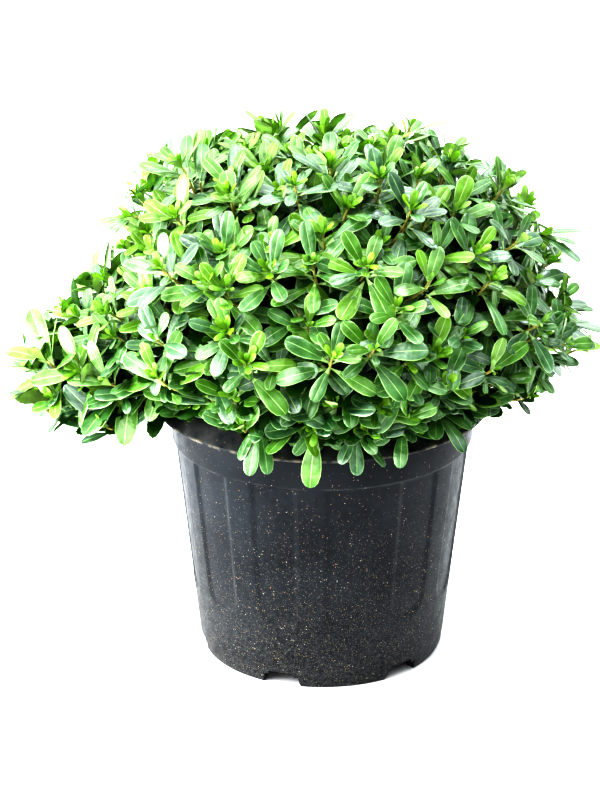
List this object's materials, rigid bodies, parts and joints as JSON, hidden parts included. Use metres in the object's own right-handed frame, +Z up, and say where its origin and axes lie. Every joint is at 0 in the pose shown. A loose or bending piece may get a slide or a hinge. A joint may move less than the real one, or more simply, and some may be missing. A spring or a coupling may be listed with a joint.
{
  "type": "potted shrub",
  "caption": "Dwarf Japanese pittosporum shrub, a dense low dome of glossy whorled leaves on short boughs, in a black plastic grower's pot.",
  "frame": {"origin": "on the pot's axis, at the flat pad under its floor, where it stands on the ground", "axes": "+Z up along the pot's axis; -Y is the side the picture shows; +X to its right"},
  "size_m": [0.6001, 0.5181, 0.5622],
  "materials": {
    "pot_plastic": "satin black moulded plastic",
    "soil": "rough potting soil",
    "bark": "rough bark",
    "foliage": "glossy leaves"
  },
  "bodies": {
    "root": {"pot": "pot_plastic", "soil": "soil", "stem": "bark", "bough_top": "bark", "bough_upper_front": "bark", "bough_upper_right": "bark", "bough_upper_back_right": "bark", "bough_upper_back_left": "bark", "bough_upper_left": "bark", "bough_low_front": "bark", "bough_low_front_right": "bark", "bough_low_right": "bark", "bough_low_back_right": "bark", "bough_low_back_left": "bark", "bough_low_left": "bark", "bough_low_front_left": "bark", "foliage_top": "foliage", "foliage_upper_front": "foliage", "foliage_upper_right": "foliage", "foliage_upper_back_right": "foliage", "foliage_upper_back_left": "foliage", "foliage_upper_left": "foliage", "foliage_low_front": "foliage", "foliage_low_front_right": "foliage", "foliage_low_right": "foliage", "foliage_low_back_right": "foliage", "foliage_low_back_left": "foliage", "foliage_low_left": "foliage", "foliage_low_front_left": "foliage"}
  },
  "joints": []
}
